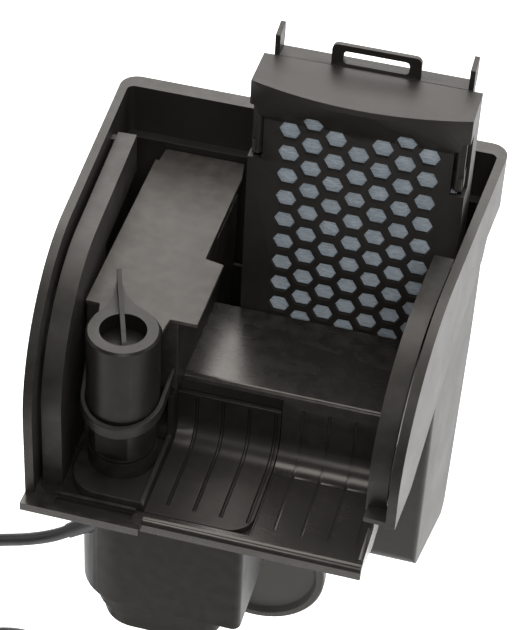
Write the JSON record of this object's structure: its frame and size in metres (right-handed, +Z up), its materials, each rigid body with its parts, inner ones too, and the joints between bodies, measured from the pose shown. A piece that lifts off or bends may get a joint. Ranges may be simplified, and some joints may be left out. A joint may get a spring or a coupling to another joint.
{
  "type": "hang-on-back aquarium power filter",
  "caption": "Black box filter that hangs on a tank's rim, lid off: in-tank pump and riser tube on the left, ribbed spillway on the right, honeycomb-fronted cartridge drawn part-way up.",
  "frame": {"origin": "middle of the rim seat: the underside of the middle rubber pad, where the case rests on the top edge of the tank glass", "axes": "+X to the right along the glass as seen from inside the tank, +Y away from the tank through the glass, +Z up"},
  "size_m": [0.2435, 0.196, 0.429],
  "materials": {
    "case_plastic": "satin black ABS",
    "tray_plastic": "semi-gloss black ABS",
    "pad_rubber": "matte",
    "foot_plastic": "satin",
    "pump_plastic": "satin",
    "motor_resin": "cast resin",
    "magnet": "ferrite",
    "impeller_plastic": "satin",
    "shaft_ceramic": "polished ceramic",
    "screw_steel": "stainless",
    "strainer_foam": "open-cell foam",
    "cartridge_plastic": "satin black ABS",
    "pin_steel": "stainless",
    "filter_floss": "polyester floss",
    "carbon": "bagged activated carbon",
    "cord_rubber": "satin PVC",
    "blade_brass": "plated"
  },
  "bodies": {
    "case": {"reservoir_box": "case_plastic", "upper_tub": "case_plastic", "spillway_tray": "tray_plastic", "partition_wall": "tray_plastic", "duct_channel": "tray_plastic", "duct_cover": "tray_plastic", "rim_pads": "pad_rubber", "foot_socket": "case_plastic", "carrier_insert": "tray_plastic", "riser_tube": "tray_plastic", "riser_guard": "tray_plastic", "riser_seal": "pad_rubber", "pump_housing": "pump_plastic", "outlet_spigot": "pump_plastic", "motor_block": "motor_resin", "pump_shaft": "shaft_ceramic", "upper_bush": "pad_rubber", "lower_bush": "pad_rubber", "volute_cover": "pump_plastic", "cover_screws": "screw_steel", "cord_gland": "cord_rubber", "power_cord": "cord_rubber", "cord_coil": "cord_rubber", "cord_tie": "cord_rubber", "plug_body": "cord_rubber", "plug_blades": "blade_brass"},
    "regulator": {"flow_regulator": "tray_plastic"},
    "rotor": {"rotor_magnet": "magnet", "impeller_wheel": "impeller_plastic"},
    "strainer": {"intake_strainer": "pump_plastic", "prefilter_foam": "strainer_foam"},
    "foot": {"levelling_disc": "foot_plastic", "levelling_stem": "foot_plastic"},
    "cartridge": {"cartridge_front": "cartridge_plastic", "cartridge_back": "cartridge_plastic", "filter_pad": "filter_floss", "carbon_insert": "carbon", "left_latch_pin": "pin_steel", "right_latch_pin": "pin_steel"},
    "left_latch_lever": {"left_latch": "cartridge_plastic"},
    "right_latch_lever": {"right_latch": "cartridge_plastic"}
  },
  "joints": [
    {"name": "cartridge_lift", "type": "slide", "parent": "case", "child": "cartridge", "axis": [0, 0, 1], "range_m": [-0.088, 0.118]},
    {"name": "regulator_turn", "type": "hinge", "parent": "case", "child": "regulator", "pos_m": [-0.05, -0.0497, 0.06], "axis": [0, 0, 1], "range_deg": [-60, 20]},
    {"name": "impeller_spin", "type": "hinge", "parent": "case", "child": "rotor", "pos_m": [-0.01, -0.044, -0.06], "axis": [0, 0, 1], "continuous": true},
    {"name": "strainer_pull", "type": "slide", "parent": "case", "child": "strainer", "axis": [0, 0, -1], "range_m": [0, 0.06]},
    {"name": "foot_adjust", "type": "slide", "parent": "case", "child": "foot", "axis": [0, -1, 0], "range_m": [-0.0015, 0.006]},
    {"name": "left_latch_hinge", "type": "hinge", "parent": "cartridge", "child": "left_latch_lever", "pos_m": [-0.0125, 0.04, 0.1245], "axis": [0, 0, 1], "range_deg": [0, 25]},
    {"name": "right_latch_hinge", "type": "hinge", "parent": "cartridge", "child": "right_latch_lever", "pos_m": [0.0825, 0.04, 0.1245], "axis": [0, 0, 1], "range_deg": [-25, 0]}
  ]
}
